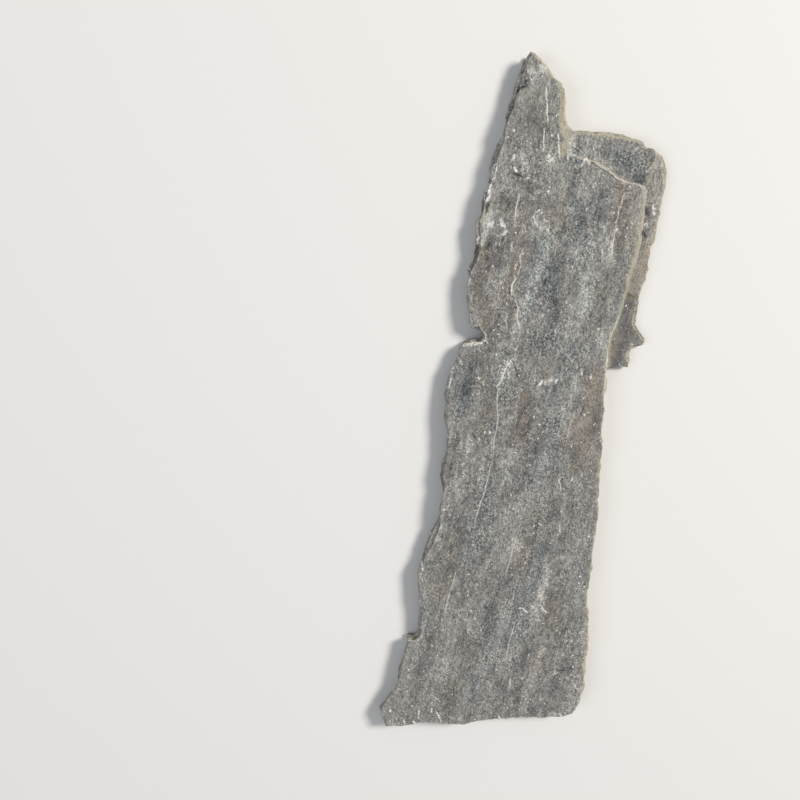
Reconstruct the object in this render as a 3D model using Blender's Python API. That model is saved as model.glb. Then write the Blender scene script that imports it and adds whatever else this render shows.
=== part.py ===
"""A slab of split slate: one stone, lying on its bed face.

Lengths are in metres and Z is up. The long way of the stone runs along Y, with
its pointed end at +Y, and the origin is on the ground under the middle of it.
"""

import math
from collections import namedtuple

import bmesh
import bpy
from mathutils import Vector, noise
from mathutils.geometry import delaunay_2d_cdt

# Heights are counted across the bedding, from the bed face up to the split face.
THICKNESS = 0.056
TERRACE_DROP = 0.018  # from the front sheet down to the terrace beside the point
STRIP_DROP = 0.008  # from the terrace down to the strip along the right edge
TOE_DROP = 0.005  # from the strip down to its own lower end
SKIN_DROP = 0.003  # a thin skin that has come off the split face at its foot
BAND_DROP = 0.002  # a thinner skin, off the band beside the strip
BED_DROP = 0.008  # a sheet that has come off the bed face

# The outline of the split face, clockwise from the tip, as (x, y) corners.
POINT = (
    (-0.170, 0.945), (-0.158, 0.942), (-0.131, 0.922), (-0.103, 0.897), (-0.088, 0.890),
    (-0.070, 0.873), (-0.057, 0.803), (-0.048, 0.786), (-0.024, 0.779),
)
SHOULDER = (
    (0.035, 0.785), (0.142, 0.785), (0.156, 0.781), (0.166, 0.769), (0.180, 0.771),
    (0.190, 0.768), (0.201, 0.761), (0.215, 0.753), (0.230, 0.720), (0.236, 0.680),
)
STRIP_EDGE = (
    (0.234, 0.640), (0.237, 0.603), (0.234, 0.570), (0.236, 0.540), (0.233, 0.512),
    (0.239, 0.450), (0.237, 0.408), (0.231, 0.372), (0.231, 0.345), (0.235, 0.316),
    (0.250, 0.297), (0.263, 0.284), (0.271, 0.273), (0.264, 0.260), (0.250, 0.256),
    (0.238, 0.249), (0.235, 0.235), (0.238, 0.213), (0.236, 0.197), (0.212, 0.194),
)
STRIP_FOOT_END = (0.186, 0.189)
FRONT_BROW_END = (0.172, 0.187)
RIGHT_EDGE = (
    (0.178, 0.160), (0.184, 0.120), (0.190, 0.062), (0.193, 0.024), (0.205, -0.030),
    (0.211, -0.095), (0.224, -0.170), (0.233, -0.260), (0.236, -0.330), (0.246, -0.405),
    (0.251, -0.475), (0.266, -0.530), (0.274, -0.595), (0.277, -0.670), (0.290, -0.745),
    (0.286, -0.800), (0.270, -0.838),
)
FOOT_EDGE = (
    (0.243, -0.852), (0.190, -0.861), (0.122, -0.867), (0.078, -0.884), (0.010, -0.892),
    (-0.045, -0.913), (-0.098, -0.920), (-0.165, -0.929), (-0.215, -0.942), (-0.268, -0.946),
)
LEFT_EDGE = (
    (-0.284, -0.918), (-0.290, -0.900), (-0.283, -0.884), (-0.267, -0.845), (-0.256, -0.800),
    (-0.247, -0.692), (-0.249, -0.664), (-0.228, -0.657), (-0.215, -0.644), (-0.221, -0.568),
    (-0.231, -0.540), (-0.246, -0.459), (-0.241, -0.428), (-0.222, -0.345), (-0.213, -0.308),
    (-0.215, -0.205), (-0.223, -0.172), (-0.220, -0.095), (-0.236, -0.010), (-0.246, 0.055),
    (-0.243, 0.115), (-0.229, 0.172), (-0.219, 0.203),
)
NOTCH = (
    (-0.204, 0.212), (-0.179, 0.216), (-0.170, 0.226), (-0.175, 0.238), (-0.190, 0.246),
    (-0.203, 0.249),
)
UPPER_LEFT_EDGE = (
    (-0.209, 0.262), (-0.226, 0.310), (-0.235, 0.357), (-0.235, 0.396), (-0.226, 0.425),
    (-0.224, 0.452), (-0.235, 0.498), (-0.237, 0.523), (-0.229, 0.543), (-0.226, 0.600),
    (-0.219, 0.645), (-0.220, 0.684), (-0.210, 0.724), (-0.207, 0.758), (-0.199, 0.803),
    (-0.190, 0.886), (-0.181, 0.922),
)
OUTLINE = (
    POINT + SHOULDER + STRIP_EDGE + (STRIP_FOOT_END, FRONT_BROW_END)
    + RIGHT_EDGE + FOOT_EDGE + LEFT_EDGE + NOTCH + UPPER_LEFT_EDGE
)

# A wave is smooth noise with these lengths across and along the stone. Each takes a layer
# of the noise of its own, halfway between two whole numbers, where it is liveliest.
Wave = namedtuple("Wave", "across along layer")

# The split face swells and dips, and fine ridges run along its grain.
SWELL = 0.0016
SWELL_WAVE = Wave(0.16, 0.42, 0.5)
RIDGE = 0.0008
RIDGE_WAVE = Wave(0.045, 0.20, 3.5)

# Lines along which an upper sheet has broken off, and so the brows of the ledges.
TOP_BROW = (
    (-0.060, 0.712), (-0.020, 0.715), (0.012, 0.712), (0.050, 0.704), (0.076, 0.694),
    (0.101, 0.682), (0.121, 0.674), (0.158, 0.672), (0.175, 0.661),
)
SIDE_BROW = (
    (0.181, 0.636), (0.184, 0.598), (0.188, 0.522), (0.184, 0.470), (0.180, 0.440),
    (0.181, 0.404),
)
TOE_BROW = (
    (0.178, 0.351), (0.173, 0.315), (0.163, 0.268), (0.163, 0.230), FRONT_BROW_END,
)

# A ledge is the lower ground past its brow. The beyond points lie outside the stone
# and close that ground. The run is how far the broken edge slopes out from the brow,
# across and along the stone, and between the two fade values of x the drop grows from
# nothing to the whole of it.
Ledge = namedtuple("Ledge", "brow beyond drop run fade")
STEEP_UP_SOFT_ACROSS = (0.015, 0.006)
RIGHT_OF_STONE = ((0.40, 0.18), (0.40, 1.10))
NO_FADE = (-1.0, -0.9)
FACE_LEDGES = (
    Ledge(TOP_BROW + SIDE_BROW + TOE_BROW, RIGHT_OF_STONE + ((-0.06, 1.10),),
          TERRACE_DROP, STEEP_UP_SOFT_ACROSS, (-0.050, 0.105)),
    Ledge(((0.190, 0.768), (0.186, 0.738), (0.184, 0.700), (0.175, 0.661)) + SIDE_BROW + TOE_BROW,
          RIGHT_OF_STONE + ((0.19, 1.10),), STRIP_DROP, STEEP_UP_SOFT_ACROSS, NO_FADE),
    Ledge(((0.240, 0.386), (0.205, 0.392), (0.181, 0.404)) + TOE_BROW,
          ((0.40, 0.18), (0.40, 0.386)), TOE_DROP, STEEP_UP_SOFT_ACROSS, NO_FADE),
    Ledge(((0.113, 0.740), (0.114, 0.680), (0.125, 0.640), (0.121, 0.600), (0.123, 0.500),
           (0.136, 0.371), (0.150, 0.300), (0.163, 0.262), (0.163, 0.230), FRONT_BROW_END),
          RIGHT_OF_STONE + ((0.11, 1.10),), BAND_DROP, (0.006, 0.006), NO_FADE),
    Ledge(((0.100, -0.900), (0.062, -0.800), (0.020, -0.735), (-0.030, -0.655), (-0.085, -0.610),
           (-0.120, -0.520), (-0.165, -0.470), (-0.188, -0.395), (-0.235, -0.350)),
          ((-0.40, -0.35), (-0.40, -1.10), (0.10, -1.10)), SKIN_DROP, (0.007, 0.007), NO_FADE),
)
BED_LEDGES = (
    Ledge(((-0.270, -0.440), (-0.215, -0.405), (-0.172, -0.330), (-0.150, -0.190), (-0.178, -0.040),
           (-0.205, 0.060), (-0.270, 0.120)),
          ((-0.40, 0.12), (-0.40, -0.44)), BED_DROP, (0.008, 0.008), NO_FADE),
    Ledge(((0.300, -0.500), (0.228, -0.560), (0.190, -0.650), (0.150, -0.700), (0.105, -0.790),
           (0.085, -0.900)),
          ((0.085, -1.10), (0.40, -1.10), (0.40, -0.50)), BED_DROP, (0.008, 0.008), NO_FADE),
    Ledge(((-0.120, 0.960), (-0.128, 0.860), (-0.108, 0.790), (-0.040, 0.735), (0.060, 0.742),
           (0.130, 0.715), (0.170, 0.640), (0.250, 0.590)),
          ((0.40, 0.59), (0.40, 1.10), (-0.12, 1.10)), BED_DROP, (0.010, 0.010), NO_FADE),
)

# Shallow hollows where flakes have sprung off the split face: x, y, the half width,
# the half length and the depth. Their sides rise this much more steeply than a bowl's.
SCAR_STEEPNESS = 1.3
FACE_SCARS = (
    (-0.212, 0.510, 0.042, 0.050, 0.006),
    (-0.222, 0.350, 0.022, 0.060, 0.004),
    (-0.222, 0.635, 0.018, 0.045, 0.004),
    (-0.188, 0.230, 0.036, 0.030, 0.005),
    (-0.236, 0.125, 0.020, 0.060, 0.004),
    (-0.180, 0.880, 0.020, 0.040, 0.004),
    (-0.010, 0.740, 0.034, 0.024, 0.004),
    (0.205, -0.120, 0.026, 0.075, 0.005),
    (0.272, -0.660, 0.032, 0.080, 0.006),
    (0.060, -0.890, 0.070, 0.030, 0.005),
    (-0.235, -0.620, 0.030, 0.050, 0.005),
)

# The broken walls show four sheets, one above the other. These are the heights of the
# joints between them, and how far a sheet stands back from the outline or out of it.
SHEET_JOINTS = (0.045, 0.031, 0.015)
SHEETS = range(len(SHEET_JOINTS) + 1)
JOINT_GAP = 0.003
JOINT_SWAY = 0.0012
JOINT_WAVES = tuple(Wave(0.06, 0.06, 61.5 + joint) for joint in range(len(SHEET_JOINTS)))
FARTHEST_BACK = 0.013
FARTHEST_OUT = 0.002
USUAL_BACK = 0.45  # share of the way back at which a sheet mostly stands
BACK_SWING = 1.5  # shares of the way that its long waves swing it
BACK_WAVES = tuple(Wave(0.085, 0.085, 23.5 + 3 * sheet) for sheet in SHEETS)
ROUGHNESS = 0.2  # shares of the way that short waves add
ROUGH_WAVES = tuple(Wave(0.02, 0.02, 51.5 + sheet) for sheet in SHEETS)
THIN_SHEET = 0.0015

JAG = 0.0022  # how far the outline strays from a straight run between its corners
JAG_WAVE = Wave(0.018, 0.018, 7.5)
ARRIS = (0.003, 0.009)  # least and greatest width broken off the edges of both faces
ARRIS_WAVES = (Wave(0.055, 0.055, 11.5), Wave(0.055, 0.055, 17.5))  # split face, bed face
CORNER_REACH = 2  # points to each side that tell how sharp a corner is
CORNER_FALL = 3  # power by which the room for broken edges falls at a sharp corner

# Spacing of the mesh's points: along the outline, over the split face and the bed.
RIM_STEP = 0.0155
FACE_STEP = 0.0245
BED_STEP = 0.052
ROW_SHARE = math.sqrt(0.75)  # rows of a triangular grid are this share of a step apart
SCATTER = 0.25  # how far a point strays from the grid, as a share of a step
SCATTER_WAVES = (Wave(0.011, 0.011, 31.5), Wave(0.011, 0.011, 37.5))  # in x, in y
SPARE = 0.5  # scattered points keep this share of a step from every line
LINE_GAP = 0.006  # a row of points this near the outline is tied to it instead
MERGE = 0.0008  # row points nearer than this become one
SHARP_ANGLE = math.radians(28)

SLATE_GREY = (0.258, 0.250, 0.231, 1.0)  # linear, a mid grey with a little brown
SLATE_ROUGHNESS = 0.78


def clear_scene():
    for item in list(bpy.data.objects):
        bpy.data.objects.remove(item, do_unlink=True)


def ease(share):
    """0 below 0, 1 above 1, and a smooth rise between."""
    share = min(max(share, 0.0), 1.0)
    return share * share * (3 - 2 * share)


def wave(x, y, kind):
    """The height of a wave at a point, from -1 to 1."""
    return noise.noise(Vector((x / kind.across, y / kind.along, kind.layer)))


def stretched(line, across, along):
    """A line with its x values and its y values multiplied."""
    return [(x * across, y * along) for x, y in line]


def distance(x, y, line):
    """Distance from a point to a line of straight runs."""
    nearest = math.inf
    for (ax, ay), (bx, by) in zip(line, line[1:]):
        run_x, run_y = bx - ax, by - ay
        share = ((x - ax) * run_x + (y - ay) * run_y) / (run_x**2 + run_y**2)
        share = min(max(share, 0.0), 1.0)
        nearest = min(nearest, math.hypot(x - ax - share * run_x, y - ay - share * run_y))
    return nearest


def inside(x, y, loop):
    """Whether a point lies inside a closed loop of corners."""
    within = False
    for (ax, ay), (bx, by) in zip(loop, loop[1:] + loop[:1]):
        if (ay > y) != (by > y) and x < ax + (y - ay) * (bx - ax) / (by - ay):
            within = not within
    return within


def ledge_depth(x, y, ledges):
    """How far the ledges lower the ground at a point."""
    depth = 0.0
    for ledge in ledges:
        if not inside(x, y, ledge.brow + ledge.beyond):
            continue
        start, full = ledge.fade
        grown = ease((x - start) / (full - start))
        across, along = ledge.run
        brow = stretched(ledge.brow, 1 / across, 1 / along)
        depth += ledge.drop * grown * ease(distance(x / across, y / along, brow))
    return depth


def face_height(x, y):
    """Height of the split face: sheets and ledges, low swells and ridges along the grain."""
    height = THICKNESS - ledge_depth(x, y, FACE_LEDGES)
    height -= SWELL * (1 + wave(x, y, SWELL_WAVE))
    height -= RIDGE * (1 + wave(x, y, RIDGE_WAVE))
    for scar_x, scar_y, half_width, half_length, depth in FACE_SCARS:
        away = math.hypot((x - scar_x) / half_width, (y - scar_y) / half_length)
        height -= depth * ease(SCAR_STEEPNESS * (1 - away))
    return height


def bed_height(x, y):
    """Height of the bed face: flat on the ground but for the sheets lost at its edges."""
    return ledge_depth(x, y, BED_LEDGES)


def broken_outline():
    """Points round the outline: its corners, and jagged points along the runs between."""
    points = []
    for (ax, ay), (bx, by) in zip(OUTLINE, OUTLINE[1:] + OUTLINE[:1]):
        length = math.hypot(bx - ax, by - ay)
        across_x, across_y = (by - ay) / length, (ax - bx) / length
        steps = max(1, round(length / RIM_STEP))
        for step in range(steps):
            x = ax + (bx - ax) * step / steps
            y = ay + (by - ay) * step / steps
            stray = JAG * wave(x, y, JAG_WAVE) if step else 0.0
            points.append((x + across_x * stray, y + across_y * stray))
    return points


def outward_ways(points):
    """For each point of a clockwise outline, the unit direction that leads out of it."""
    ways = []
    for i, (x, y) in enumerate(points):
        before = Vector(points[i - 1])
        after = Vector(points[(i + 1) % len(points)])
        here = Vector((x, y))
        run = (here - before).normalized() + (after - here).normalized()
        ways.append(Vector((-run.y, run.x)).normalized())
    return ways


def corner_room(points):
    """For each point of the outline, 1 on a straight run and less at a sharp corner."""
    rooms = []
    for i, point in enumerate(points):
        before = points[i - CORNER_REACH]
        after = points[(i + CORNER_REACH) % len(points)]
        path = math.dist(before, point) + math.dist(point, after)
        rooms.append((math.dist(before, after) / path) ** CORNER_FALL)
    return rooms


def wall_column(x, y, way, room):
    """The points of the broken wall under one point of the outline, from the top down."""
    narrow, wide = ARRIS
    arris = [narrow + (wide - narrow) * room * ease(0.5 + wave(x, y, kind)) for kind in ARRIS_WAVES]
    top = face_height(x - way.x * arris[0], y - way.y * arris[0])
    bed = bed_height(x - way.x * arris[1], y - way.y * arris[1])
    stands = []
    for sheet in SHEETS:
        back = ease(USUAL_BACK + BACK_SWING * wave(x, y, BACK_WAVES[sheet]))
        back += ROUGHNESS * wave(x, y, ROUGH_WAVES[sheet])
        stands.append(FARTHEST_OUT - room * back * (FARTHEST_OUT + FARTHEST_BACK))
    stands[0] = max(stands[0], -arris[0])
    places = [(-arris[0], top)]
    for i, joint in enumerate(SHEET_JOINTS):
        joint += JOINT_SWAY * wave(x, y, JOINT_WAVES[i])
        places.append((stands[i], joint + JOINT_GAP / 2))
        places.append((stands[i + 1], joint - JOINT_GAP / 2))
    places.append((min(-arris[1], stands[-1]), bed))
    column = []
    for i, (stand, height) in enumerate(places):
        height = min(height, top - THIN_SHEET * i)
        height = max(height, bed + THIN_SHEET * (len(places) - 1 - i))
        column.append((x + way.x * stand, y + way.y * stand, height))
    return column


def divided(line, step):
    """The points of a line of straight runs, with more between them about a step apart."""
    points = []
    for (ax, ay), (bx, by) in zip(line, line[1:]):
        parts = max(1, round(math.hypot(bx - ax, by - ay) / step))
        points += [(ax + (bx - ax) * i / parts, ay + (by - ay) * i / parts) for i in range(parts)]
    return points + [line[-1]]


def foot_of(brow, run):
    """The foot of a broken edge: its brow moved out by the run, to the left of the line."""
    across, along = run
    line = stretched(brow, 1 / across, 1 / along)
    moved = []
    for i, (x, y) in enumerate(line):
        ax, ay = line[max(i - 1, 0)]
        bx, by = line[min(i + 1, len(line) - 1)]
        length = math.hypot(bx - ax, by - ay)
        moved.append((x - (by - ay) / length, y + (bx - ax) / length))
    return stretched(moved, across, along)


def lay_row(row, loop, points, edges):
    """Adds the points of a row that lie on the face, tied to the loop where it runs off."""
    places = []
    for x, y in row:
        on_face = inside(x, y, loop) and distance(x, y, loop + loop[:1]) > LINE_GAP
        places.append(len(points) if on_face else None)
        if on_face:
            points.append((x, y))
    for here, there in zip(places, places[1:]):
        if here is not None and there is not None:
            edges.append((here, there))
        elif here is not None or there is not None:
            end = there if here is None else here
            edges.append((end, min(range(len(loop)), key=lambda i: math.dist(loop[i], points[end]))))


def scattered(loop, lines, step):
    """Points over the face about a step apart, clear of its loop and of every line."""
    points = []
    reach_x = math.ceil(max(abs(x) for x, y in loop) / step)
    reach_y = math.ceil(max(abs(y) for x, y in loop) / (ROW_SHARE * step))
    for i in range(-reach_x, reach_x + 1):
        for j in range(-reach_y, reach_y + 1):
            x = (i + 0.5 * (j % 2)) * step
            y = j * ROW_SHARE * step
            x += SCATTER * step * wave(x, y, SCATTER_WAVES[0])
            y += SCATTER * step * wave(x, y, SCATTER_WAVES[1])
            if inside(x, y, loop) and min(distance(x, y, line) for line in lines) > SPARE * step:
                points.append((x, y))
    return points


def cover(mesh, ring, ledges, height_at, step):
    """Closes a ring of wall points with a face that follows the ledges and the heights."""
    loop = [(vertex.co.x, vertex.co.y) for vertex in ring]
    points = list(loop)
    edges = []
    rows = [loop + loop[:1]]
    for ledge in ledges:
        brow = divided(ledge.brow, RIM_STEP)
        rows += [brow, foot_of(brow, ledge.run)]
    for row in rows[1:]:
        lay_row(row, loop, points, edges)
    points += scattered(loop, rows, step)
    flat = [Vector(point) for point in points]
    places, _, faces, sources, _, _ = delaunay_2d_cdt(flat, edges, [range(len(loop))], 1, MERGE)
    corners = []
    for place, source in zip(places, sources):
        on_ring = [i for i in source if i < len(ring)]
        if on_ring:
            corners.append(ring[on_ring[0]])
        else:
            corners.append(mesh.verts.new((place.x, place.y, height_at(place.x, place.y))))
    for face in faces:
        mesh.faces.new([corners[i] for i in face])


def stone():
    """The whole closed mesh: the broken wall all round, then both faces."""
    points = broken_outline()
    columns = [wall_column(x, y, way, room)
               for (x, y), way, room in zip(points, outward_ways(points), corner_room(points))]
    mesh = bmesh.new()
    rings = [[mesh.verts.new(place) for place in level] for level in zip(*columns)]
    for upper, lower in zip(rings, rings[1:]):
        for i in range(len(upper)):
            mesh.faces.new((upper[i - 1], upper[i], lower[i], lower[i - 1]))
    cover(mesh, rings[0], FACE_LEDGES, face_height, FACE_STEP)
    cover(mesh, rings[-1], BED_LEDGES, bed_height, BED_STEP)
    bmesh.ops.triangulate(mesh, faces=mesh.faces[:])
    bmesh.ops.recalc_face_normals(mesh, faces=mesh.faces[:])
    return mesh


def centre(mesh):
    """Moves the mesh so that the origin is under the middle of its box."""
    x = [vertex.co.x for vertex in mesh.verts]
    y = [vertex.co.y for vertex in mesh.verts]
    middle = Vector((min(x) + max(x), min(y) + max(y), 0.0)) / 2
    bmesh.ops.translate(mesh, verts=mesh.verts[:], vec=-middle)


def slate():
    """Dull split slate: mid grey, with no metal and hardly any gloss."""
    material = bpy.data.materials.new("slate")
    material.use_nodes = True
    shader = material.node_tree.nodes["Principled BSDF"]
    shader.inputs["Base Color"].default_value = SLATE_GREY
    shader.inputs["Roughness"].default_value = SLATE_ROUGHNESS
    shader.inputs["Metallic"].default_value = 0.0
    return material


def add_slab():
    mesh = stone()
    centre(mesh)
    data = bpy.data.meshes.new("slab")
    mesh.to_mesh(data)
    mesh.free()
    data.shade_smooth()
    data.set_sharp_from_angle(angle=SHARP_ANGLE)
    data.materials.append(slate())
    bpy.context.scene.collection.objects.link(bpy.data.objects.new("slab", data))


clear_scene()
add_slab()
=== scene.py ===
"""Looks of a split slab of slate: its broken surface, its colours, a pale floor, soft light and a camera."""

import heapq
import itertools
import math

import bmesh
import bpy
import numpy as np
from mathutils import Matrix, Vector, kdtree, noise


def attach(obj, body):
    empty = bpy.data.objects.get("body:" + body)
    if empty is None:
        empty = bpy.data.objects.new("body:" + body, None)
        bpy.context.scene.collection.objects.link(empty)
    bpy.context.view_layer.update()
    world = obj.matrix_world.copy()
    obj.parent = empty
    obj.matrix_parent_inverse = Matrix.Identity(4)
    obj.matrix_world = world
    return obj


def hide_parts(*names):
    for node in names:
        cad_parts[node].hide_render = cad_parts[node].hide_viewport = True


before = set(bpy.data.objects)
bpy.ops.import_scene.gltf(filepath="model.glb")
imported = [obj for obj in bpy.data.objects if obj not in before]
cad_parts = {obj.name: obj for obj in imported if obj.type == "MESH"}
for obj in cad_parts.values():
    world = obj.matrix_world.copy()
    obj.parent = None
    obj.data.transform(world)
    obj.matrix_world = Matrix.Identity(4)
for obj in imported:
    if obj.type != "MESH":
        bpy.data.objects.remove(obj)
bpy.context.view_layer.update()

# ---------------------------------------------------------------------------------------
# The slab. It is one piece of slate, prised off its bed along the cleavage and broken to
# length, so it has two flat split faces and a torn wall all round. The mesh starts as a copy
# of the frame's own solid and is made finer where the stone is broken or marked.

# How long the edges of the mesh may be, in metres: on the face, on the bed, and within a band
# of each broken edge and each mark.
FACE_MESH = 0.0088
BED_MESH = 0.016
EDGE_MESH = 0.0045
EDGE_BAND = 0.003
MARK_MESH = 0.0034
MARK_BAND = 0.005
MESH_GROWTH = 0.50  # how fast the mesh may coarsen away from an edge or a mark
TOO_LONG = 1.25  # an edge is halved when it is this many times the wanted length
BROKEN_ANGLE = math.radians(34)  # an edge of the solid that bends out more than this is broken
SAME_CORNER = 1e-5  # corners nearer to each other than this are one
BED_TOP = 0.012  # the bed face and its ledges lie below this height
BED_TILT = -0.7  # a face of the bed has an upward share of its normal below this

# Marks of the face, each a route in x and y with its half width and strength. Pale quartz
# veins and scratches come first.
VEINS = (
    (((-0.119, 0.866), (-0.111, 0.835), (-0.101, 0.792)), 0.0016, 0.9),
    (((-0.106, 0.767), (-0.099, 0.720)), 0.0014, 0.9),
    (((-0.069, 0.760), (-0.060, 0.732), (-0.055, 0.709)), 0.0015, 1.0),
    (((-0.084, 0.707), (-0.078, 0.700), (-0.072, 0.706), (-0.069, 0.700)), 0.0020, 1.0),
    (((-0.038, 0.728), (-0.034, 0.709)), 0.0016, 1.0),
    (((0.004, 0.698), (0.010, 0.712), (0.015, 0.716), (0.022, 0.705)), 0.0018, 1.0),
    (((0.024, 0.711), (0.050, 0.702), (0.075, 0.693), (0.101, 0.680), (0.121, 0.675), (0.160, 0.672),
      (0.184, 0.667)), 0.0013, 0.6),
    (((0.189, 0.660), (0.190, 0.637), (0.194, 0.599), (0.196, 0.574), (0.200, 0.537), (0.199, 0.505),
      (0.197, 0.472)), 0.0014, 0.6),
    (((-0.141, 0.602), (-0.143, 0.570), (-0.139, 0.527)), 0.0013, 0.8),
    (((-0.138, 0.478), (-0.136, 0.462)), 0.0014, 0.8),
    (((-0.109, 0.467), (-0.112, 0.448), (-0.106, 0.430), (-0.109, 0.404)), 0.0014, 0.7),
    (((-0.114, 0.392), (-0.119, 0.374), (-0.117, 0.352)), 0.0019, 1.0),
    (((-0.103, 0.334), (-0.094, 0.318), (-0.093, 0.300), (-0.083, 0.270)), 0.0014, 0.9),
    (((-0.120, 0.290), (-0.115, 0.262)), 0.0016, 0.5),
    (((-0.089, 0.178), (-0.099, 0.156), (-0.104, 0.122), (-0.113, 0.105)), 0.0016, 1.0),
    (((-0.111, 0.094), (-0.106, 0.053), (-0.098, 0.026), (-0.096, -0.007), (-0.097, -0.044),
      (-0.093, -0.080)), 0.0012, 0.65),
    (((0.106, 0.062), (0.101, 0.030), (0.098, -0.010)), 0.0013, 0.35),
    (((-0.089, 0.178), (-0.082, 0.168)), 0.0012, 0.7),
    (((0.174, 0.330), (0.163, 0.268), (0.166, 0.201), (0.181, 0.106)), 0.0015, 0.7),
    (((0.125, 0.640), (0.120, 0.600), (0.122, 0.500)), 0.0014, 0.5),
    (((0.098, -0.132), (0.109, -0.160)), 0.0014, 0.8),
    (((0.125, -0.263), (0.129, -0.284)), 0.0014, 0.8),
    (((0.068, -0.748), (0.071, -0.768)), 0.0015, 0.9),
    (((-0.094, -0.110), (-0.100, -0.200), (-0.112, -0.280)), 0.0013, 0.6),
    (((0.010, -0.310), (0.004, -0.380), (0.000, -0.420)), 0.0013, 0.6),
    (((-0.140, -0.440), (-0.150, -0.520), (-0.152, -0.570)), 0.0013, 0.6),
    (((0.050, -0.580), (0.044, -0.640), (0.046, -0.680)), 0.0013, 0.6),
    (((-0.083, 0.705), (-0.079, 0.709), (-0.074, 0.703), (-0.076, 0.693), (-0.084, 0.697)), 0.0018, 1.0),
    (((-0.094, 0.553), (-0.088, 0.544), (-0.081, 0.535)), 0.0022, 0.9),
    (((0.122, 0.531), (0.120, 0.510), (0.126, 0.490)), 0.0018, 0.9),
)

# White bruises where the skin of the stone was knocked, mostly along the left rim.
SCUFFS = (
    (((-0.212, 0.668), (-0.211, 0.632)), 0.004, 0.9),
    (((-0.219, 0.617), (-0.217, 0.578)), 0.005, 0.9),
    (((-0.204, 0.545), (-0.212, 0.505), (-0.222, 0.470)), 0.010, 0.38),
    (((-0.178, 0.532), (-0.166, 0.524), (-0.158, 0.512), (-0.163, 0.500)), 0.0036, 0.7),
    (((-0.150, 0.700), (-0.143, 0.680)), 0.006, 0.5),
    (((-0.233, 0.400), (-0.232, 0.357)), 0.003, 0.9),
    (((-0.216, 0.284), (-0.208, 0.264), (-0.201, 0.248)), 0.003, 0.9),
    (((-0.178, 0.247), (-0.166, 0.236), (-0.166, 0.221)), 0.003, 0.8),
    (((-0.222, 0.200), (-0.196, 0.208), (-0.172, 0.213)), 0.003, 0.9),
    (((-0.241, 0.187), (-0.240, 0.124)), 0.003, 0.8),
    (((-0.239, 0.106), (-0.241, 0.080)), 0.003, 0.8),
    (((-0.004, 0.120), (0.000, 0.126), (0.003, 0.134)), 0.0028, 1.0),
    (((0.011, 0.131), (0.012, 0.132)), 0.0028, 0.8),
    (((0.026, 0.140), (0.030, 0.142)), 0.0040, 1.0),
    (((0.041, 0.135), (0.043, 0.142)), 0.0044, 1.0),
    (((0.102, 0.180), (0.104, 0.172), (0.106, 0.165)), 0.0030, 0.9),
    (((0.132, 0.169), (0.130, 0.164), (0.132, 0.159)), 0.0030, 0.9),
    (((0.132, 0.059), (0.134, 0.057)), 0.0040, 1.0),
    (((0.116, 0.072), (0.119, 0.069)), 0.0038, 0.6),
    (((0.087, 0.185), (0.090, 0.183)), 0.0030, 0.8),
    (((0.049, -0.525), (0.064, -0.521), (0.080, -0.533)), 0.0022, 1.0),
    (((0.084, -0.508), (0.100, -0.518)), 0.0022, 1.0),
    (((0.112, -0.504), (0.124, -0.519), (0.139, -0.526)), 0.0022, 1.0),
    (((-0.225, -0.342), (-0.226, -0.349)), 0.003, 0.9),
    (((-0.241, -0.425), (-0.233, -0.445)), 0.003, 0.9),
    (((-0.263, -0.884), (-0.262, -0.894)), 0.003, 1.0),
    (((-0.217, -0.920), (-0.215, -0.930)), 0.003, 1.0),
    (((-0.192, -0.916), (-0.184, -0.924), (-0.175, -0.928)), 0.003, 1.0),
    (((-0.179, -0.882), (-0.178, -0.896), (-0.175, -0.908)), 0.0025, 1.0),
    (((-0.142, -0.872), (-0.141, -0.882)), 0.003, 1.0),
    (((-0.126, -0.882), (-0.118, -0.893), (-0.110, -0.910)), 0.0025, 1.0),
    (((0.231, -0.834), (0.240, -0.849)), 0.003, 1.0),
    (((0.058, -0.874), (0.062, -0.882)), 0.003, 1.0),
    (((-0.112, -0.023), (-0.111, -0.029)), 0.0025, 1.0),
    (((0.208, 0.206), (0.214, 0.198), (0.226, 0.196)), 0.0022, 0.9),
    (((0.165, 0.226), (0.168, 0.214)), 0.0022, 0.9),
    (((-0.215, 0.660), (-0.213, 0.644), (-0.214, 0.626)), 0.0034, 1.0),
    (((-0.224, 0.611), (-0.221, 0.596), (-0.220, 0.578)), 0.0040, 1.0),
    (((-0.209, 0.528), (-0.205, 0.517)), 0.0042, 0.9),
    (((-0.197, 0.526), (-0.197, 0.516)), 0.0040, 1.0),
    (((-0.175, 0.533), (-0.171, 0.522)), 0.0036, 0.9),
    (((-0.169, 0.698), (-0.170, 0.685)), 0.0032, 0.9),
    (((-0.165, 0.668), (-0.158, 0.660)), 0.0034, 0.9),
    (((-0.066, 0.633), (-0.064, 0.637)), 0.0023, 1.0),
    (((-0.069, 0.622), (-0.067, 0.624)), 0.0021, 1.0),
    (((-0.069, 0.656), (-0.068, 0.658)), 0.0026, 1.0),
    (((-0.075, 0.566), (-0.073, 0.568)), 0.0026, 1.0),
    (((-0.085, 0.571), (-0.084, 0.572)), 0.0026, 1.0),
    (((-0.059, 0.548), (-0.058, 0.549)), 0.0026, 1.0),
    (((0.124, 0.551), (0.125, 0.553)), 0.0030, 1.0),
    (((0.109, 0.522), (0.110, 0.524)), 0.0028, 1.0),
    (((-0.168, 0.900), (-0.148, 0.901), (-0.127, 0.910)), 0.0060, 0.34),
    (((-0.141, 0.915), (-0.127, 0.908)), 0.0045, 0.38),
    (((-0.214, 0.783), (-0.216, 0.761)), 0.0022, 0.8),
    (((-0.218, 0.738), (-0.219, 0.724)), 0.0022, 0.8),
    (((-0.225, 0.494), (-0.227, 0.476)), 0.0030, 0.8),
    (((0.216, 0.628), (0.221, 0.608)), 0.0050, 0.8),
    (((0.202, 0.575), (0.208, 0.585), (0.209, 0.570)), 0.0024, 0.9),
)

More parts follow.
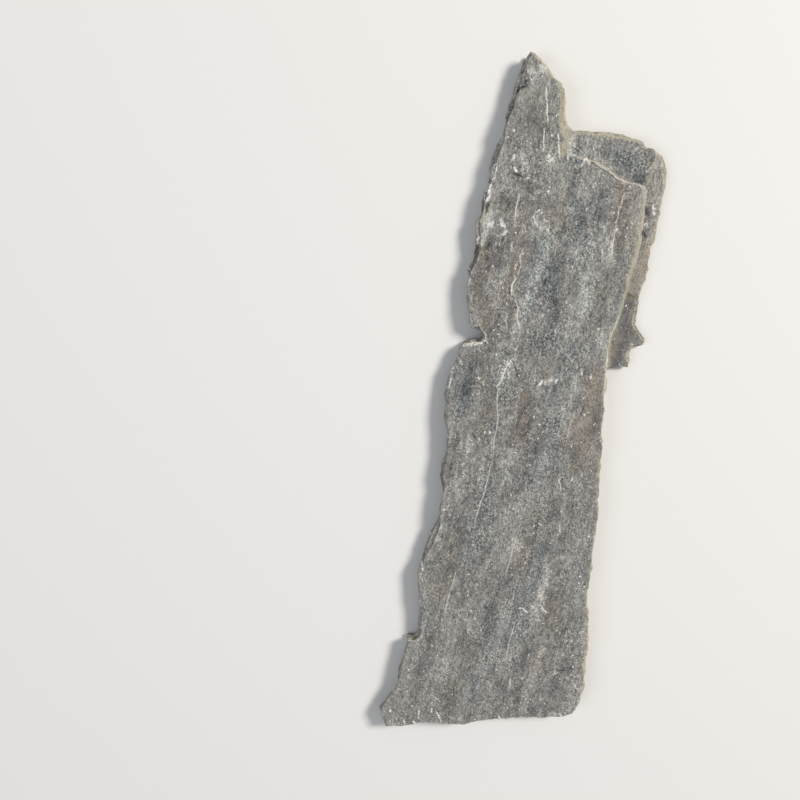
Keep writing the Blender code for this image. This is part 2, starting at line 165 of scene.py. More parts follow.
# Cream bands: painted highlights along the lit slopes of the ledges and of the notch beside the point.
CREAM_BANDS = (
    (((-0.082, 0.882), (-0.072, 0.845), (-0.066, 0.800), (-0.054, 0.762)), 0.0080, 0.9),
    (((-0.040, 0.772), (-0.046, 0.745), (-0.051, 0.716)), 0.0110, 0.8),
    (((-0.026, 0.777), (0.060, 0.779), (0.150, 0.778)), 0.0030, 1.0),
    (((0.184, 0.655), (0.187, 0.600), (0.193, 0.540)), 0.0060, 0.55),
    (((0.193, 0.540), (0.193, 0.500), (0.188, 0.443)), 0.0085, 0.90),
    (((0.188, 0.443), (0.182, 0.380), (0.177, 0.320)), 0.0062, 0.80),
    (((0.177, 0.320), (0.172, 0.256), (0.172, 0.200)), 0.0070, 0.65),
    (((0.200, 0.755), (0.195, 0.738), (0.192, 0.710), (0.189, 0.680)), 0.0050, 0.55),
    (((0.197, 0.398), (0.212, 0.390), (0.228, 0.381)), 0.0022, 0.6),
    (((0.240, 0.612), (0.237, 0.580), (0.232, 0.535)), 0.0050, 0.8),
    (((-0.207, 0.555), (-0.219, 0.541), (-0.231, 0.530)), 0.0040, 0.8),
)

# Open cracks and pits, cut in as grooves, with painted shade: their near-black colour stands for the shadow
# inside.
CRACKS = (
    (((-0.188, 0.850), (-0.182, 0.858), (-0.172, 0.864)), 0.0024, 0.85),
    (((-0.173, 0.872), (-0.168, 0.877)), 0.0022, 0.9),
    (((-0.215, 0.571), (-0.217, 0.558), (-0.216, 0.546)), 0.0034, 0.8),
    (((0.030, 0.709), (0.035, 0.708)), 0.0022, 1.0),
    (((-0.085, 0.176), (-0.072, 0.154), (-0.066, 0.138), (-0.059, 0.128)), 0.0011, 0.8),
    (((0.180, 0.186), (0.205, 0.188)), 0.0016, 0.9),
    (((0.024, 0.707), (0.050, 0.698), (0.075, 0.689), (0.101, 0.676)), 0.0012, 0.5),
    (((-0.158, -0.036), (-0.151, -0.044)), 0.0022, 0.8),
    (((0.125, 0.075), (0.126, 0.066), (0.122, 0.059), (0.127, 0.055)), 0.0017, 0.75),
    (((-0.163, 0.652), (-0.150, 0.651), (-0.142, 0.649)), 0.0014, 0.9),
    (((0.199, 0.613), (0.202, 0.603)), 0.0040, 0.6),
    (((0.204, 0.555), (0.210, 0.543)), 0.0040, 0.6),
)


def along(route, step):
    """Points along a route of straight runs, no further than a step apart."""
    places = []
    for start, end in zip(route, route[1:]):
        parts = max(1, math.ceil(math.dist(start, end) / step))
        places += [Vector(start).lerp(Vector(end), i / parts) for i in range(parts + 1)]
    return places


def near(places):
    """A search tree over places."""
    tree = kdtree.KDTree(len(places))
    for i, place in enumerate(places):
        tree.insert(place, i)
    tree.balance()
    return tree


stone = bmesh.new()
stone.from_mesh(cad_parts["slab"].data)
bmesh.ops.remove_doubles(stone, verts=stone.verts[:], dist=SAME_CORNER)
edge_tree = near([
    place
    for edge in stone.edges
    if edge.calc_face_angle_signed() > BROKEN_ANGLE
    for place in along([edge.verts[0].co, edge.verts[1].co], EDGE_MESH)
])
mark_tree = near([
    place.to_3d()
    for route, _, _ in VEINS + SCUFFS + CREAM_BANDS + CRACKS
    for place in along(route, MARK_MESH)
])


def wanted_length(edge):
    """How long this edge of the mesh may be."""
    middle = (edge.verts[0].co + edge.verts[1].co) / 2
    on_bed = middle.z < BED_TOP and all(face.normal.z < BED_TILT for face in edge.link_faces)
    length = BED_MESH if on_bed else FACE_MESH
    to_edge = edge_tree.find(middle)[2]
    length = min(length, EDGE_MESH + MESH_GROWTH * max(0.0, to_edge - EDGE_BAND))
    if middle.z > BED_TOP:
        to_mark = mark_tree.find((middle.x, middle.y, 0.0))[2]
        length = min(length, MARK_MESH + MESH_GROWTH * max(0.0, to_mark - MARK_BAND))
    return length


ticket = itertools.count()  # settles which of two edges alike in the queue goes first


def halve(edge):
    """Splits an edge in the middle, joins that point to the corners beside it, and gives the new edges."""
    ends = edge.verts[:]
    _, middle = bmesh.utils.edge_split(edge, ends[0], 0.5)
    for face in list(middle.link_faces):
        across = next(vert for vert in face.verts if vert is not middle and vert not in ends)
        bmesh.utils.face_split(face, middle, across)
    return middle.link_edges[:]


def queue_long(queue, edges):
    """Adds the edges that are too long to the queue, the worst first."""
    for edge in edges:
        excess = edge.calc_length() / wanted_length(edge)
        if excess > TOO_LONG:
            heapq.heappush(queue, (-excess, next(ticket), edge))


long_edges = []
queue_long(long_edges, stone.edges[:])
while long_edges:
    queue_long(long_edges, halve(heapq.heappop(long_edges)[-1]))
stone.normal_update()

# Broken stone is never smooth: shallow skins and ridges run with the grain of the face, the
# walls show the ends of thin sheets, and the broken edges have lost small chips. All of it
# is cut inwards from the solid's surface.
GRAIN_LEAN = math.radians(5)  # the grain of the face leans this far from the slab's length

# Each form of relief has a depth, and a size across the grain, along it and through the stone.
RIDGE_DEPTH = 0.0009
RIDGE_SIZE = (0.013, 0.110, 0.050)
SKIN_DEPTH = 0.0011
SKIN_SIZE = (0.050, 0.300, 0.050)
SKIN_STEPS = 6
RISER = 5.0  # how many times steeper than the noise the riser of a skin is
GRIT_DEPTH = 0.0004
GRIT_SIZE = (0.009, 0.016, 0.050)
SHEET_DEPTH = 0.0026
SHEET_SIZE = (0.045, 0.045, 0.0045)
LUMP_DEPTH = 0.0030
LUMP_SIZE = (0.028, 0.028, 0.018)
CHIP_DEPTH = 0.0060
CHIP_SIZE = (0.017, 0.017, 0.017)
CHIP_REACH = 0.011  # chips die out over this length from a broken edge
CHIP_START = 0.05  # noise below this leaves the edge whole
CRACK_DEPTH = 0.0030
CRACK_REACH = 1.6  # a crack's groove ends this many half widths from its middle
DENT_DEPTH = 0.0030
DENT_SIZE = (0.008, 0.010, 0.010)
DENT_REACH = 2.0  # the dents of a scuff end this many half widths from its middle


def rough(place, size, seed=0.0):
    """Noise from about -1 to 1, with lumps of this size across the grain, along it and through the stone."""
    across, length, through = size
    x = place.x * math.cos(GRAIN_LEAN) - place.y * math.sin(GRAIN_LEAN)
    y = place.y * math.cos(GRAIN_LEAN) + place.x * math.sin(GRAIN_LEAN)
    return noise.noise(Vector((x / across + seed, y / length, place.z / through)))


def stepped(value, steps):
    """Turns a smooth value into flat treads with short steep risers."""
    value *= steps
    tread = math.floor(value)
    return (tread + min(1.0, RISER * (value - tread))) / steps


def face_relief(place):
    """How deep the split surface lies under the solid's, on the face or the bed."""
    ridges = RIDGE_DEPTH * max(0.0, rough(place, RIDGE_SIZE))
    skins = SKIN_DEPTH * max(0.0, stepped(rough(place, SKIN_SIZE, seed=3.0), SKIN_STEPS))
    return ridges + skins + GRIT_DEPTH * abs(rough(place, GRIT_SIZE, seed=7.0))


def wall_relief(place):
    """How deep the torn wall lies behind the solid's."""
    sheets = SHEET_DEPTH * max(0.0, rough(place, SHEET_SIZE, seed=11.0))
    return sheets + LUMP_DEPTH * max(0.0, rough(place, LUMP_SIZE, seed=13.0))


places = np.array([vert.co for vert in stone.verts])
ups = np.array([vert.normal.z for vert in stone.verts])
# Marks lie on the face and its ledges, and die out where these turn over into a wall.
TURNING = 2.5  # how fast a share grows as the surface turns to face a way
TURNED = 0.1  # the share that an upright wall has
on_top = np.clip(TURNING * ups + TURNED, 0.0, 1.0) * (places[:, 2] > BED_TOP)
MARK_FADE = 0.007  # a mark dies out over this length past its ends
LINE_REACH = 5.0  # a line's strength is carried this many half widths out


def carried_marks(marks, sided=True):
    """Each point's offset from the nearest of these marks, in half widths, and how strong the mark is.

    A sided offset changes sign across the mark, which keeps a thin line crisp. Blobs that lie
    close together have none, or a false line would run halfway between them.
    """
    offsets = np.zeros(len(places))
    strengths = np.zeros(len(places))
    nearest = np.full(len(places), np.inf)
    for route, half_width, strength in marks:
        last = len(route) - 2
        for i, (start, end) in enumerate(zip(route, route[1:])):
            run = np.array(end) - np.array(start)
            length = np.hypot(*run)
            x, y = (places[:, :2] - np.array(start)).T
            ahead = (x * run[0] + y * run[1]) / length
            aside = (x * run[1] - y * run[0]) / length
            past = np.maximum(-ahead, ahead - length).clip(0.0)
            gap = np.hypot(aside, past)
            open_end = ((ahead < 0.0) & (i == 0)) | ((ahead > length) & (i == last))
            offset = np.where(open_end, aside, np.copysign(gap, aside)) / half_width
            fade = np.where(open_end, 1.0 - past / MARK_FADE, 1.0)
            share = np.clip(LINE_REACH - abs(offset), 0.0, 1.0) * fade
            if not sided:
                offset = gap / half_width
                share = np.ones(len(places))
            closer = gap < nearest
            offsets[closer] = offset[closer]
            strengths[closer] = strength * share[closer].clip(0.0)
            nearest[closer] = gap[closer]
    return offsets, strengths * on_top


broken = np.array([1.0 - edge_tree.find(vert.co)[2] / CHIP_REACH for vert in stone.verts]).clip(0.0)
marks = {
    "crack": carried_marks(CRACKS),
    "cream": carried_marks(CREAM_BANDS),
    "vein": carried_marks(VEINS),
    "scuff": carried_marks(SCUFFS, sided=False),
}
crack_offset, crack_strength = marks["crack"]
cracked = crack_strength * np.clip(CRACK_REACH - abs(crack_offset), 0.0, 1.0)
scuff_offset, scuff_strength = marks["scuff"]
scuffed = scuff_strength * np.clip(DENT_REACH - abs(scuff_offset), 0.0, 1.0)

# The broken edges that face right and towards the point, the side the key light comes from,
# get a painted cream highlight.
LIT_FROM_X = 0.85
LIT_FROM_Y = 0.5
towards = np.array([LIT_FROM_X * vert.normal.x + LIT_FROM_Y * vert.normal.y for vert in stone.verts])
sunlit_edge = broken * np.clip(TURNING * towards, 0.0, 1.0) * (places[:, 2] > BED_TOP)

moves = []
for i, vert in enumerate(stone.verts):
    flat = abs(ups[i]) ** 2
    depth = flat * face_relief(vert.co) + (1.0 - flat) * wall_relief(vert.co)
    chipped = max(0.0, rough(vert.co, CHIP_SIZE, seed=17.0) - CHIP_START)
    dented = max(0.0, rough(vert.co, DENT_SIZE, seed=19.0))
    depth += CHIP_DEPTH * chipped * broken[i] + CRACK_DEPTH * cracked[i] + DENT_DEPTH * dented * scuffed[i]
    moves.append(vert.normal * -float(depth))

SHARP_ANGLE = math.radians(40)  # an edge of the solid bent less than this is shaded smooth
for edge in stone.edges:
    edge.smooth = edge.calc_face_angle(0.0) < SHARP_ANGLE
for face in stone.faces:
    face.smooth = True
for vert, move in zip(stone.verts, moves):
    vert.co += move

# Where a chip is deeper than a sheet is wide, the surface folds over itself. A fold is eased
# out by drawing its points halfway towards their neighbours, a few times over.
FOLD_ANGLE = math.radians(125)
EASINGS = 12
every_axis = {"use_axis_x": True, "use_axis_y": True, "use_axis_z": True}
for _ in range(EASINGS):
    stone.normal_update()
    folds = [edge for edge in stone.edges if edge.calc_face_angle(0.0) > FOLD_ANGLE]
    folded = list(dict.fromkeys(vert for edge in folds for vert in edge.verts))
    bmesh.ops.smooth_vert(stone, verts=folded, factor=0.5, **every_axis)

mesh = bpy.data.meshes.new("slate_slab")
stone.to_mesh(mesh)
stone.free()
slab = bpy.data.objects.new("slate_slab", mesh)
bpy.context.collection.objects.link(slab)

# Broad streaks and stains of the face, each a route with its half width and strength. Iron
# has browned the rock beside old joints, and bands of finer mud are blue-grey or dark.
WARM_STREAKS = (
    (((-0.162, 0.586), (-0.132, 0.502)), 0.024, 0.6),
    (((-0.204, 0.466), (-0.206, 0.350), (-0.168, 0.249)), 0.026, 0.8),
    (((-0.119, 0.491), (-0.129, 0.360), (-0.110, 0.284)), 0.015, 0.6),
    (((-0.058, 0.589), (-0.023, 0.536)), 0.020, 0.4),
    (((0.118, 0.652), (0.137, 0.528)), 0.024, 0.8),
    (((0.142, 0.171), (0.155, 0.091), (0.150, -0.008), (0.142, -0.100)), 0.026, 0.8),
    (((0.040, 0.197), (0.014, 0.161)), 0.022, 0.5),
    (((-0.023, 0.092), (-0.028, -0.034)), 0.020, 0.8),
    (((-0.166, 0.168), (-0.127, 0.064), (-0.136, -0.049)), 0.017, 0.7),
    (((0.083, -0.034), (0.110, 0.041)), 0.020, 0.5),
    (((0.116, 0.395), (0.131, 0.291)), 0.016, 0.5),
    (((0.220, 0.383), (0.223, 0.263)), 0.018, 0.6),
    (((-0.143, 0.858), (-0.100, 0.744)), 0.018, 0.4),
    (((0.060, -0.250), (0.030, -0.420)), 0.024, 0.6),
    (((-0.160, -0.340), (-0.170, -0.520)), 0.024, 0.5),
    (((0.160, -0.480), (0.140, -0.700)), 0.026, 0.6),
    (((-0.060, -0.660), (-0.090, -0.860)), 0.026, 0.5),
)
BLUE_STREAKS = (
    (((-0.057, 0.510), (-0.070, 0.390), (-0.077, 0.300)), 0.016, 0.8),
    (((-0.017, 0.449), (-0.020, 0.376), (0.001, 0.305), (-0.007, 0.231)), 0.024, 0.9),
    (((0.060, 0.517), (0.074, 0.331)), 0.016, 0.7),
    (((-0.017, 0.731), (0.000, 0.610), (0.019, 0.511)), 0.019, 0.8),
    (((0.075, 0.734), (0.125, 0.726), (0.160, 0.704)), 0.026, 0.8),
    (((-0.177, 0.597), (-0.155, 0.575)), 0.016, 0.6),
    (((-0.197, 0.164), (-0.202, 0.026)), 0.016, 0.7),
    (((0.072, 0.242), (0.053, 0.130), (0.061, -0.022), (0.040, -0.150)), 0.020, 0.7),
    (((-0.107, 0.190), (-0.100, 0.068)), 0.016, 0.6),
    (((0.066, 0.619), (0.086, 0.520)), 0.014, 0.5),
    (((-0.080, -0.140), (-0.110, -0.380)), 0.030, 0.7),
    (((0.080, -0.340), (0.050, -0.620)), 0.030, 0.7),
    (((-0.010, -0.540), (-0.040, -0.820)), 0.028, 0.6),
)
PALE_STREAKS = (
    (((-0.057, 0.521), (-0.060, 0.453), (-0.071, 0.382), (-0.077, 0.310)), 0.014, 0.8),
    (((0.061, 0.537), (0.069, 0.472), (0.066, 0.401), (0.074, 0.331)), 0.014, 0.9),
    (((-0.096, 0.173), (-0.102, 0.128)), 0.014, 0.8),
    (((-0.003, 0.136), (0.054, 0.150)), 0.011, 0.6),
    (((-0.053, 0.785), (-0.032, 0.724)), 0.011, 0.8),
    (((-0.221, 0.533), (-0.166, 0.520)), 0.018, 0.6),
    (((0.042, 0.720), (0.083, 0.696)), 0.012, 0.6),
    (((-0.199, 0.742), (-0.197, 0.668)), 0.011, 0.6),
    (((-0.093, 0.708), (-0.075, 0.679)), 0.014, 0.45),
    (((-0.090, 0.559), (-0.074, 0.528)), 0.014, 0.5),
    (((0.094, 0.560), (0.128, 0.470)), 0.014, 0.35),
    (((-0.167, 0.906), (-0.156, 0.875)), 0.011, 0.6),
    (((0.133, 0.291), (0.158, 0.235)), 0.014, 0.7),
    (((0.081, 0.153), (0.081, 0.065), (0.078, -0.006)), 0.016, 0.5),
    (((-0.063, 0.087), (-0.073, -0.012)), 0.014, 0.5),
    (((0.040, 0.358), (0.052, 0.266)), 0.014, 0.5),
    (((0.020, -0.180), (-0.010, -0.360)), 0.016, 0.6),
    (((0.120, -0.380), (0.100, -0.560)), 0.016, 0.5),
    (((-0.110, -0.560), (-0.120, -0.740)), 0.016, 0.6),
)
TAN_STREAKS = (
    (((0.205, 0.400), (0.218, 0.465), (0.226, 0.530)), 0.014, 1.0),
    (((0.160, 0.660), (0.170, 0.560), (0.168, 0.500)), 0.014, 0.5),
    (((0.205, 0.690), (0.212, 0.620)), 0.010, 0.5),
    (((-0.033, 0.640), (-0.030, 0.560)), 0.006, 0.4),
    (((0.186, 0.215), (0.190, 0.290)), 0.012, 0.5),
    (((0.144, 0.176), (0.141, 0.110), (0.136, 0.030), (0.134, -0.030)), 0.022, 0.35),
)
DARK_STREAKS = (
    (((-0.025, 0.593), (-0.019, 0.518)), 0.014, 0.6),
    (((-0.017, 0.449), (-0.020, 0.376), (0.001, 0.305), (-0.007, 0.231)), 0.024, 0.65),
    (((0.017, 0.597), (0.029, 0.563)), 0.015, 1.0),
    (((-0.006, 0.533), (-0.002, 0.518)), 0.009, 0.9),
    (((-0.012, 0.732), (-0.001, 0.660), (0.000, 0.610)), 0.011, 0.7),
    (((-0.189, 0.469), (-0.190, 0.425), (-0.161, 0.429)), 0.014, 0.7),
    (((-0.157, 0.647), (-0.128, 0.631)), 0.014, 0.7),
    (((-0.184, 0.596), (-0.154, 0.568)), 0.011, 0.6),
    (((0.131, 0.716), (0.167, 0.694)), 0.016, 0.8),
    (((0.204, 0.626), (0.202, 0.598)), 0.008, 0.9),
    (((0.208, 0.558), (0.210, 0.523)), 0.008, 0.8),
    (((-0.192, 0.165), (-0.192, 0.077)), 0.022, 0.55),
    (((-0.003, 0.076), (-0.037, 0.021), (-0.058, -0.050)), 0.016, 0.9),
    (((0.018, 0.112), (0.041, 0.131)), 0.011, 0.5),
    (((-0.180, 0.895), (-0.182, 0.852)), 0.011, 0.8),
    (((-0.136, 0.816), (-0.121, 0.765)), 0.011, 0.5),
    (((0.061, 0.755), (0.061, 0.728)), 0.014, 0.7),
    (((0.133, 0.548), (0.135, 0.512)), 0.014, 0.6),
    (((-0.194, 0.325), (-0.162, 0.276)), 0.016, 0.4),
    (((0.032, 0.456), (0.053, 0.386)), 0.009, 0.5),
    (((0.208, 0.368), (0.214, 0.300), (0.205, 0.220)), 0.030, 1.0),
    (((0.020, -0.040), (-0.010, -0.200)), 0.020, 0.6),
    (((-0.130, -0.200), (-0.150, -0.360)), 0.020, 0.6),
    (((0.150, -0.200), (0.130, -0.400)), 0.018, 0.6),
    (((0.000, -0.420), (-0.030, -0.640)), 0.020, 0.6),
    (((-0.180, -0.640), (-0.190, -0.800)), 0.018, 0.6),
    (((0.100, -0.640), (0.080, -0.860)), 0.020, 0.6),
)
# Finer grained sheets, where the speckle is weak.
SMOOTH_STREAKS = (
    (((0.209, 0.378), (0.219, 0.300), (0.215, 0.250), (0.200, 0.200)), 0.036, 1.0),
    (((-0.160, 0.900), (-0.130, 0.790)), 0.045, 0.35),
    (((0.140, 0.080), (0.138, -0.010)), 0.026, 0.45),
)
STREAK_SWAY = 0.012  # how far a streak's rim wanders
SWAY_WIDTH = 0.030  # and over what width and length it does so
SWAY_LENGTH = 0.060
SWAY_SEED = 5  # noise_vector starts from the clock unless it is seeded


def streaked(streaks):
    """How strongly each point lies in these streaks, from 0 to 1, fading softly outwards."""
    strongest = np.zeros(len(places))
    for route, half_width, strength in streaks:
        for start, end in zip(route, route[1:]):
            start, run = np.array(start), np.array(end) - np.array(start)
            share = np.clip((swayed - start) @ run / (run @ run), 0.0, 1.0)
            gap = np.linalg.norm(swayed - start - share[:, None] * run, axis=1)
            strongest = np.maximum(strongest, strength * np.exp(-((gap / half_width) ** 2)))
    return strongest


noise.seed_set(SWAY_SEED)
sways = [noise.noise_vector(Vector((x / SWAY_WIDTH, y / SWAY_LENGTH, 0.0))) for x, y, _ in places]
swayed = places[:, :2] + STREAK_SWAY * np.array(sways)[:, :2]
carried = {
    "broken": broken,
    # the painted highlight on the broken edges that face the light
    "sunlit_edge": sunlit_edge,
    "warm": streaked(WARM_STREAKS),
    "blue": streaked(BLUE_STREAKS),
    "pale": streaked(PALE_STREAKS),
    "tan": streaked(TAN_STREAKS) * on_top,
    "dark": streaked(DARK_STREAKS),
    "smooth": streaked(SMOOTH_STREAKS),
}
for name, (offsets, strengths) in marks.items():
    carried[name] = strengths
    carried[name + "_offset"] = offsets
for name, values in carried.items():
    mesh.attributes.new(name, "FLOAT", "POINT").data.foreach_set("value", values.astype(np.float32))


def linear(colour):
    """An sRGB hex colour as a linear RGBA tuple."""
    parts = [int(colour[i : i + 2], 16) / 255 for i in (1, 3, 5)]
    return (*((c / 12.92 if c <= 0.04045 else ((c + 0.055) / 1.055) ** 2.4) for c in parts), 1.0)


slate = bpy.data.materials.new("split_slate")
slate.use_nodes = True
slate.node_tree.nodes.clear()


def node(kind, inputs=(), give=0, **settings):
    """Adds a node to the slate's shader with its settings and links, and gives one of its outputs."""
    made = slate.node_tree.nodes.new("ShaderNode" + kind)
    for name, value in settings.items():
        setattr(made, name, value)
    for name, value in dict(inputs).items():
        if isinstance(value, bpy.types.NodeSocket):
            slate.node_tree.links.new(value, made.inputs[name])
        else:
            made.inputs[name].default_value = value
    return made.outputs[give] if made.outputs else None


# Split slate: fine mica and quartz grains drawn out along the grain give a grey salt and
# pepper with a silky half shine. Broken edges are pale where fresh and carry a painted cream highlight where
# they face the light, and quartz veins stay white.
# Real grains are under 1 mm; the finest here are drawn at 5 mm, as coarse as they need to show.
spot = node("TexCoord", give="Object")
MILLIMETRE = 0.001


def grained(across, length, through, detail=3.0, roughness=0.55, seed=0.0, lean=3.0):
    """Noise from 0 to 1 with lumps of this size in millimetres, whose length leans by lean degrees."""
    turned = node("VectorRotate", {"Vector": spot, "Angle": math.radians(lean)}, rotation_type="Z_AXIS")
    scale = [1 / (size * MILLIMETRE) for size in (across, length, through)]
    sized = node("Mapping", {"Vector": turned, "Location": (seed, seed, seed), "Scale": scale})
    return node("TexNoise", {"Vector": sized, "Scale": 1.0, "Detail": detail, "Roughness": roughness})


streaks = grained(10, 70, 4, detail=3.5, roughness=0.65, seed=1.0)  # silky, along the grain
bands = grained(36, 260, 30, seed=2.0, lean=7.0)  # finer and coarser mud
speckle = grained(4.6, 5.2, 5, detail=1.5, roughness=0.8, seed=3.0, lean=20.0)  # single grains
strokes = grained(5.0, 11, 5, detail=2.5, roughness=0.7, seed=4.0, lean=5.0)  # drawn out grains
mottle = grained(14, 22, 10, roughness=0.65, seed=12.0, lean=8.0)  # blotches of a finger's width
patch = grained(38, 70, 30, detail=2.0, seed=14.0, lean=8.0)  # where the speckle crowds
clouds = grained(60, 100, 50, detail=4.0, roughness=0.6, seed=5.0)  # broad light and dark
crumble = grained(6.5, 8.5, 5, detail=2.0, roughness=0.65, seed=9.0)  # what breaks up a bruise
wander = grained(12, 12, 12, roughness=0.6, seed=10.0)  # how the rim of a mark wanders
stain = grained(26, 110, 20, detail=4.0, roughness=0.6, seed=6.0)  # how a stain soaked in
fleck = grained(8.0, 9.5, 8, detail=1.0, roughness=0.5, seed=7.0)  # white crystals
dash = grained(5.0, 22, 6, detail=2.0, roughness=0.6, seed=17.0, lean=4.0)  # pale scratches
pit = grained(6.2, 9.5, 6, detail=2.0, roughness=0.6, seed=8.0)  # holes that lost a crystal
points = {name: node("Attribute", give="Fac", attribute_name=name) for name in carried}

# The grain is speckle and short strokes. The speckle comes in crowds, and is strongest in the
# blue-grey bands, where the rock is coarsest. The smooth sheets show only a third of it.
spread = {"From Min": 0.22, "From Max": 0.78, "To Min": -0.53, "To Max": 0.53}
speckled = node("MapRange", {"Value": speckle, **spread})
spread = {"From Min": 0.25, "From Max": 0.75, "To Min": -0.25, "To Max": 0.25}
stroked = node("MapRange", {"Value": strokes, **spread})
coarse = node("MapRange", {"Value": points["blue"], "From Max": 0.7, "To Min": 0.80, "To Max": 1.35})
spread = {"From Min": 0.35, "From Max": 0.62, "To Min": 0.55, "To Max": 1.15}
crowded = node("MapRange", {"Value": patch, **spread})
crowding = node("Math", {0: crowded, 1: coarse}, operation="MULTIPLY")
speckled = node("Math", {0: speckled, 1: crowding}, operation="MULTIPLY")
grain = node("Math", {0: speckled, 1: stroked}, operation="ADD")
grain_share = node("MapRange", {"Value": points["smooth"], "To Min": 1.0, "To Max": 0.35})
tone = node("Math", {0: grain, 1: grain_share}, operation="MULTIPLY")

# The tone is that grain and a sum of broader patterns, each stretched from its own low and
# high to a share of least to most.
for pattern, low, high, least, most in (
    (streaks, 0.28, 0.72, 0.0, 0.22),
    (bands, 0.32, 0.68, 0.0, 0.24),
    (clouds, 0.32, 0.68, 0.0, 0.24),
    (mottle, 0.30, 0.70, -0.16, 0.20),
    (points["pale"], 0.0, 1.0, 0.0, 0.32),
    (points["dark"], 0.0, 1.0, 0.0, -0.25),
):
    stretch = {"Value": pattern, "From Min": low, "From Max": high, "To Min": least, "To Max": most}
    tone = node("Math", {0: tone, 1: node("MapRange", stretch)}, operation="ADD")

DARKEST_TONE = -0.38
PALEST_TONE = 1.05
greys = ((0.0, "#333333"), (0.28, "#616160"), (0.50, "#83827e"), (0.72, "#a9a7a1"), (1.0, "#e2e0d9"))
ramp_share = node("MapRange", {"Value": tone, "From Min": DARKEST_TONE, "From Max": PALEST_TONE})
colour = node("ValToRGB", {"Fac": ramp_share})
ramp = colour.node.color_ramp
while len(ramp.elements) < len(greys):
    ramp.elements.new(0.5)
for element, (share, grey) in zip(ramp.elements, greys):
    element.position = share
    element.color = linear(grey)

MARK_CORE = 0.55  # a mark shows in full out to this many half widths


def shown(name, wobble, reach=1.25):
    """How much of this mark shows, out to reach half widths, its rim moved by up to wobble of them."""
    spread = {"From Min": 0.25, "From Max": 0.75, "To Min": -wobble, "To Max": wobble}
    sway = node("MapRange", {"Value": wander, **spread})
    wandered = node("Math", {0: points[name + "_offset"], 1: sway}, operation="ADD")
    from_line = node("Math", {0: wandered}, operation="ABSOLUTE")
    inside = node("MapRange", {"Value": from_line, "From Min": reach, "From Max": MARK_CORE})
    return node("Math", {0: points[name], 1: inside}, operation="MULTIPLY")


# Each layer of colour covers by where it lies, times how much of it a pattern lets through,
# which is stretched as above. Iron stain and blue-grey mud tint the grey, and bruises, veins,
# painted highlights on the lit edges and ledges, and the painted shade in the cracks hide it.
outside_blue = node("MapRange", {"Value": points["blue"], "From Max": 0.5, "To Min": 1.0, "To Max": 0.15})
for where, pattern, low, high, least, most, tint, how in (
    (points["warm"], stain, 0.30, 0.60, 0.45, 1.0, "#ded0c4", "MULTIPLY"),
    (points["blue"], stain, 0.38, 0.66, 1.0, 0.4, "#c9d8df", "MULTIPLY"),
    (points["tan"], strokes, 0.30, 0.60, 0.2, 0.8, "#958a75", "MIX"),
    (outside_blue, fleck, 0.715, 0.75, 0.0, 0.95, "#e8e7e1", "MIX"),
    (1.0, dash, 0.67, 0.73, 0.0, 0.45, "#cac8c0", "MIX"),
    (1.0, pit, 0.37, 0.29, 0.0, 0.70, "#2e2d2d", "MIX"),
    (points["broken"], crumble, 0.44, 0.60, 0.0, 0.65, "#b3aea2", "MIX"),
    # painted highlight: cream on the broken edges that face the key light
    (points["sunlit_edge"], crumble, 0.32, 0.52, 0.25, 1.0, "#c0b79d", "MIX"),
    # painted highlight: the lit slopes of the ledges and of the notch
    (shown("cream", 0.9), crumble, 0.28, 0.58, 0.40, 0.97, "#b0a890", "MIX"),
    (shown("vein", 1.6, 1.7), crumble, 0.32, 0.48, 0.35, 1.0, "#e2dfd6", "MIX"),
    (shown("scuff", 0.6), crumble, 0.42, 0.52, 0.10, 1.0, "#f0eee8", "MIX"),
    # painted shade: near-black inside the cracks and pits
    (shown("crack", 1.2), crumble, 0.0, 1.0, 1.0, 1.0, "#1c1b1a", "MIX"),
):
    stretch = {"Value": pattern, "From Min": low, "From Max": high, "To Min": least, "To Max": most}
    cover = node("Math", {0: node("MapRange", stretch), 1: where}, operation="MULTIPLY")
    layer = {0: cover, 6: colour, 7: linear(tint)}
    colour = node("Mix", layer, give=2, data_type="RGBA", blend_type=how)

# The same patterns stand up or sink in by a few tenths of a millimetre, at most 3 mm where
# they are drawn coarser than real.
height = 0.0
for pattern, rise in ((speckle, 3.0), (strokes, 2.4), (streaks, 1.6), (pit, 1.0), (fleck, 0.8)):
    raised = node("Math", {0: pattern, 1: rise * MILLIMETRE}, operation="MULTIPLY")
    height = node("Math", {0: height, 1: raised}, operation="ADD")
bump = node("Bump", {"Height": height, "Strength": grain_share, "Distance": 1.0})

# The pale grains are quartz and mica, which shine a little more than the clay between them.
spread = {"From Min": 0.35, "From Max": 0.75, "To Min": 0.80, "To Max": 0.50}
shine = node("MapRange", {"Value": speckle, **spread})
surface = {"Base Color": colour, "Roughness": shine, "Normal": bump, "IOR": 1.55, "Specular IOR Level": 0.42}
node("OutputMaterial", {"Surface": node("BsdfPrincipled", surface)})
mesh.materials.append(slate)

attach(slab, "root")
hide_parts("slab")

# ---------------------------------------------------------------------------------------
# The studio. A seamless pale floor lies under the slab, and soft light comes from panels:
# a large warm one high on the right, and a weak cool one on the left.

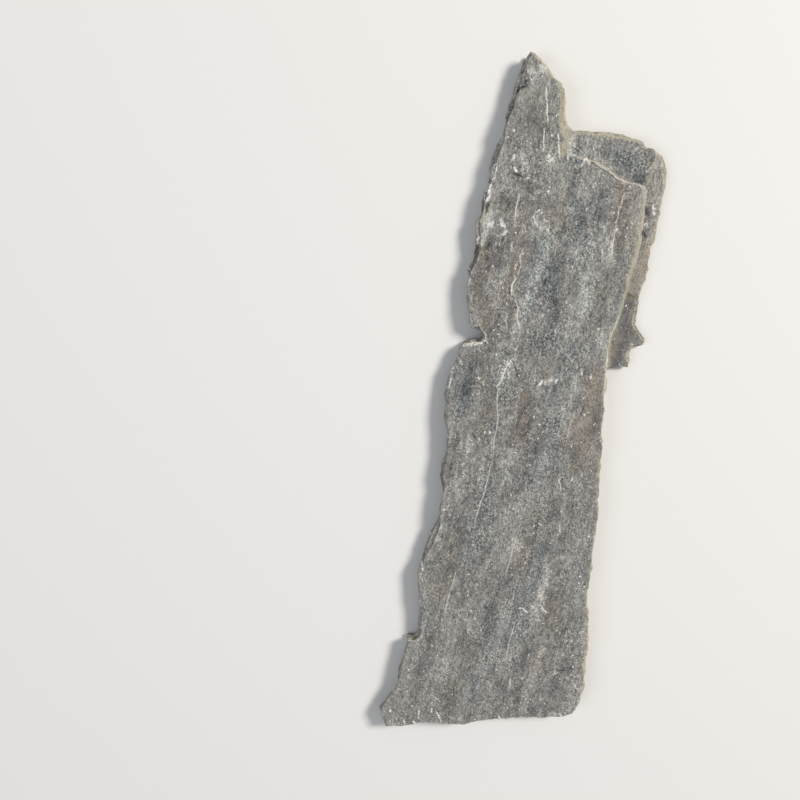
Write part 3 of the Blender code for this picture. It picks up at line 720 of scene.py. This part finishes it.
HALF_FLOOR = 20.0
FLOOR_DROP = 0.0005  # keeps the floor clear of the bed face
floor_mesh = bpy.data.meshes.new("floor")
corners = [(x * HALF_FLOOR, y * HALF_FLOOR, 0.0) for x, y in ((-1, -1), (1, -1), (1, 1), (-1, 1))]
floor_mesh.from_pydata(corners, [], [(0, 1, 2, 3)])
floor = bpy.data.objects.new("floor", floor_mesh)
floor.location.z = -FLOOR_DROP
bpy.context.collection.objects.link(floor)

# Matt white emulsion paint, rolled on: it shows the slab's soft shadow and no reflection.
paint = bpy.data.materials.new("matt_white_paint")
paint.use_nodes = True
coat = paint.node_tree.nodes["Principled BSDF"].inputs
coat["Base Color"].default_value = linear("#e9e8e5")
coat["Roughness"].default_value = 0.9
floor_mesh.materials.append(paint)

world = bpy.data.worlds.new("studio")
world.use_nodes = True
air = world.node_tree.nodes["Background"].inputs
air["Color"].default_value = linear("#eef1f5")
air["Strength"].default_value = 0.36
bpy.context.scene.world = world


def panel(name, place, size, watts, colour):
    """A square area light, its place and size in metres, that faces the slab's middle."""
    light = bpy.data.lights.new(name, "AREA")
    light.size = size
    light.energy = watts
    light.color = linear(colour)[:3]
    lamp = bpy.data.objects.new(name, light)
    lamp.location = place
    lamp.rotation_euler = (-Vector(place)).to_track_quat("-Z", "Y").to_euler()
    bpy.context.collection.objects.link(lamp)


panel("key", (9.2, 7.6, 10.4), 4.0, 2360, "#fffaf3")
panel("fill", (-10.0, -3.0, 10.0), 8.0, 440, "#eef3ff")

# ---------------------------------------------------------------------------------------
# The camera. It looks down on the slab as it lies, from above its left side, with the top
# of the picture a little to the right of the slab's point.

LENS = 38.7  # millimetres
CAMERA_PLACE = Vector((-0.497, 0.520, 2.298))
ROLL = math.radians(7)  # how far the picture is turned about the upright
RIGHT = Vector((0.99944, 0.0200, 0.02687))  # the picture's right and up before that turn
UP = Vector((-0.01367, 0.97579, -0.21829))
turn = Matrix.Rotation(ROLL, 3, "Z")
right = (turn @ RIGHT).normalized()
back = right.cross(turn @ UP).normalized()
up = back.cross(right)
camera_data = bpy.data.cameras.new("camera")
camera_data.lens = LENS
camera = bpy.data.objects.new("camera", camera_data)
camera.matrix_world = Matrix.Translation(CAMERA_PLACE) @ Matrix((right, up, back)).transposed().to_4x4()
bpy.context.collection.objects.link(camera)
bpy.context.scene.camera = camera
bpy.context.scene.view_settings.view_transform = "Standard"
